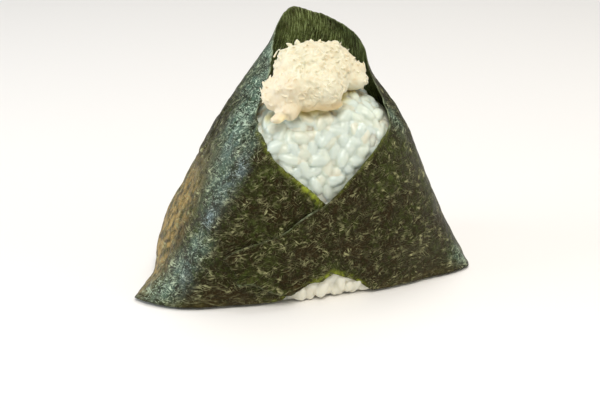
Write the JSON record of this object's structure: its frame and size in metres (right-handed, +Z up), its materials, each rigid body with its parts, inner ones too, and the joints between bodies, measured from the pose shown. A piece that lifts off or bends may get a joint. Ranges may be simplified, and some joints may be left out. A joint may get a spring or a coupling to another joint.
{
  "type": "onigiri rice ball",
  "caption": "Triangular rice ball wrapped in one nori sheet, its flaps crossed at the front, with a tuna mayonnaise topping under a nori hood.",
  "frame": {"origin": "on the flat underside of the rice, under the middle of the rice ball", "axes": "+X to the right along the open front, +Y towards the back, +Z up to the hood"},
  "size_m": [0.1139, 0.0559, 0.0838],
  "materials": {
    "cooked_rice": "moist, slightly translucent short-grain rice with a soft gloss",
    "nori": "pressed seaweed, dark green to brown-black, fibrous with a satin sheen",
    "tuna_mayonnaise": "moist flaked tuna in mayonnaise, pale cream, soft gloss"
  },
  "bodies": {
    "root": {"rice": "cooked_rice", "nori": "nori", "tuna_mayonnaise": "tuna_mayonnaise"}
  },
  "joints": []
}
